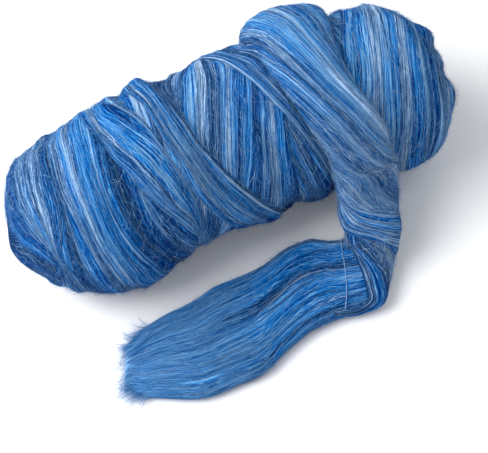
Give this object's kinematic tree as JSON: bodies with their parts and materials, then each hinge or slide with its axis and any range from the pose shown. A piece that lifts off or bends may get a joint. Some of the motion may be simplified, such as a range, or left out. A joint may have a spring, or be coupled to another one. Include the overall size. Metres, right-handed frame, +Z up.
{
  "type": "wool roving roll",
  "caption": "Log-shaped wound roll of combed wool roving, with its loose end drawn over the roll, twisted once, turned and laid out flat to a feathered tip.",
  "frame": {"origin": "middle of the flat spot that the roll rests on", "axes": "+X along the roll towards its blunter end, +Y from the laid loose end towards the back of the roll, +Z up"},
  "size_m": [0.265, 0.1832, 0.1066],
  "materials": {
    "wound_wool": "combed wool in streaks of dark, royal, sky and pale blue",
    "loose_wool": "the same wool, opened out, lighter and softer",
    "thread": "thin pale blue thread"
  },
  "bodies": {
    "root": {"wound_roll": "wound_wool", "loose_end": "loose_wool", "tie_thread": "thread"}
  },
  "joints": []
}
